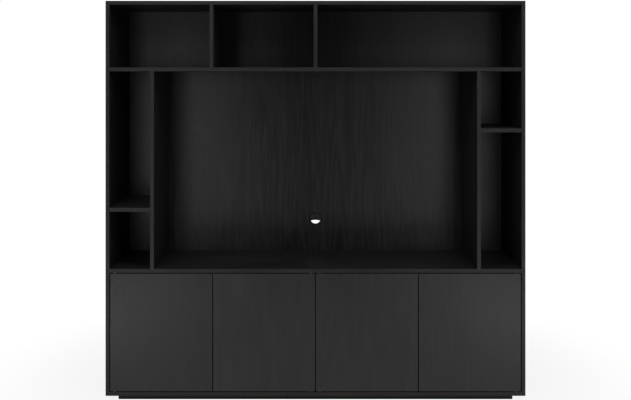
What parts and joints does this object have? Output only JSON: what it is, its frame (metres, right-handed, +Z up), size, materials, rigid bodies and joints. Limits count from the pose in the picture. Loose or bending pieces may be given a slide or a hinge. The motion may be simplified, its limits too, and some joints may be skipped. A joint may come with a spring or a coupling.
{
  "type": "tv stand",
  "caption": "Television wall unit: low cabinet with flush push-to-open doors under an open shelf frame with a TV niche, cable outlet, side bays and top compartments.",
  "frame": {"origin": "on the floor, in the middle of the unit's footprint", "axes": "+X to the right along the unit's width, +Y from the doors to the wall, +Z up"},
  "size_m": [2, 0.45, 1.917],
  "materials": {
    "black_veneer": "satin",
    "back_veneer": "satin",
    "door_veneer": "satin",
    "plinth_veneer": "satin",
    "black_plastic": "satin",
    "grey_plastic": "satin",
    "steel": "satin",
    "dark_steel": "satin"
  },
  "bodies": {
    "carcass": {"left_side": "black_veneer", "right_side": "black_veneer", "top_board": "black_veneer", "middle_shelf": "black_veneer", "left_niche_divider": "black_veneer", "right_niche_divider": "black_veneer", "top_quarter_divider": "black_veneer", "top_centre_divider": "black_veneer", "left_bay_shelf": "black_veneer", "right_bay_shelf": "black_veneer", "top_row_back": "back_veneer", "niche_back": "back_veneer", "left_bay_back": "back_veneer", "right_bay_back": "back_veneer", "cabinet_left_back": "back_veneer", "cabinet_right_back": "back_veneer", "cabinet_top": "black_veneer", "cabinet_bottom": "black_veneer", "cabinet_left_side": "black_veneer", "cabinet_right_side": "black_veneer", "cabinet_partition": "black_veneer", "left_inner_shelf": "black_veneer", "right_inner_shelf": "black_veneer", "left_shelf_left_rail": "black_veneer", "left_shelf_right_rail": "black_veneer", "right_shelf_left_rail": "black_veneer", "right_shelf_right_rail": "black_veneer", "plinth_front": "plinth_veneer", "plinth_back": "plinth_veneer", "plinth_left": "plinth_veneer", "plinth_right": "plinth_veneer", "plinth_cross": "plinth_veneer", "left_top_socket": "dark_steel", "left_bottom_socket": "dark_steel", "centre_top_socket": "dark_steel", "centre_bottom_socket": "dark_steel", "right_top_socket": "dark_steel", "right_bottom_socket": "dark_steel", "left_latch_housing": "grey_plastic", "right_latch_housing": "grey_plastic", "cable_outlet_ring": "black_plastic", "left_wall_bracket": "steel", "right_wall_bracket": "steel"},
    "left_outer_leaf": {"left_outer_door": "door_veneer", "left_outer_top_pivot": "dark_steel", "left_outer_bottom_pivot": "dark_steel"},
    "left_inner_leaf": {"left_inner_door": "door_veneer", "left_inner_top_pivot": "dark_steel", "left_inner_bottom_pivot": "dark_steel"},
    "right_inner_leaf": {"right_inner_door": "door_veneer", "right_inner_top_pivot": "dark_steel", "right_inner_bottom_pivot": "dark_steel"},
    "right_outer_leaf": {"right_outer_door": "door_veneer", "right_outer_top_pivot": "dark_steel", "right_outer_bottom_pivot": "dark_steel"},
    "left_outer_plunger": {"left_outer_latch_plunger": "grey_plastic"},
    "left_inner_plunger": {"left_inner_latch_plunger": "grey_plastic"},
    "right_inner_plunger": {"right_inner_latch_plunger": "grey_plastic"},
    "right_outer_plunger": {"right_outer_latch_plunger": "grey_plastic"},
    "outlet_cap": {"cable_outlet_cap": "black_plastic"}
  },
  "joints": [
    {"name": "left_outer_door_hinge", "type": "hinge", "parent": "carcass", "child": "left_outer_leaf", "pos_m": [-0.958, -0.218, 0.337], "axis": [0, 0, -1], "range_deg": [0, 90]},
    {"name": "left_inner_door_hinge", "type": "hinge", "parent": "carcass", "child": "left_inner_leaf", "pos_m": [-0.022, -0.218, 0.337], "axis": [0, 0, 1], "range_deg": [0, 90]},
    {"name": "right_inner_door_hinge", "type": "hinge", "parent": "carcass", "child": "right_inner_leaf", "pos_m": [0.022, -0.218, 0.337], "axis": [0, 0, -1], "range_deg": [0, 90]},
    {"name": "right_outer_door_hinge", "type": "hinge", "parent": "carcass", "child": "right_outer_leaf", "pos_m": [0.958, -0.218, 0.337], "axis": [0, 0, 1], "range_deg": [0, 90]},
    {"name": "left_outer_plunger_slide", "type": "slide", "parent": "carcass", "child": "left_outer_plunger", "axis": [0, -1, 0], "range_m": [0, 0.017]},
    {"name": "left_inner_plunger_slide", "type": "slide", "parent": "carcass", "child": "left_inner_plunger", "axis": [0, -1, 0], "range_m": [0, 0.017]},
    {"name": "right_inner_plunger_slide", "type": "slide", "parent": "carcass", "child": "right_inner_plunger", "axis": [0, -1, 0], "range_m": [0, 0.017]},
    {"name": "right_outer_plunger_slide", "type": "slide", "parent": "carcass", "child": "right_outer_plunger", "axis": [0, -1, 0], "range_m": [0, 0.017]},
    {"name": "outlet_cap_turn", "type": "hinge", "parent": "carcass", "child": "outlet_cap", "pos_m": [0, 0.195, 0.806], "axis": [0, -1, 0], "continuous": true}
  ],
  "couplings": [
    {"joint": "left_outer_plunger_slide", "follows": "left_outer_door_hinge", "m_per_rad": 0.0108},
    {"joint": "left_inner_plunger_slide", "follows": "left_inner_door_hinge", "m_per_rad": 0.0108},
    {"joint": "right_inner_plunger_slide", "follows": "right_inner_door_hinge", "m_per_rad": 0.0108},
    {"joint": "right_outer_plunger_slide", "follows": "right_outer_door_hinge", "m_per_rad": 0.0108}
  ]
}
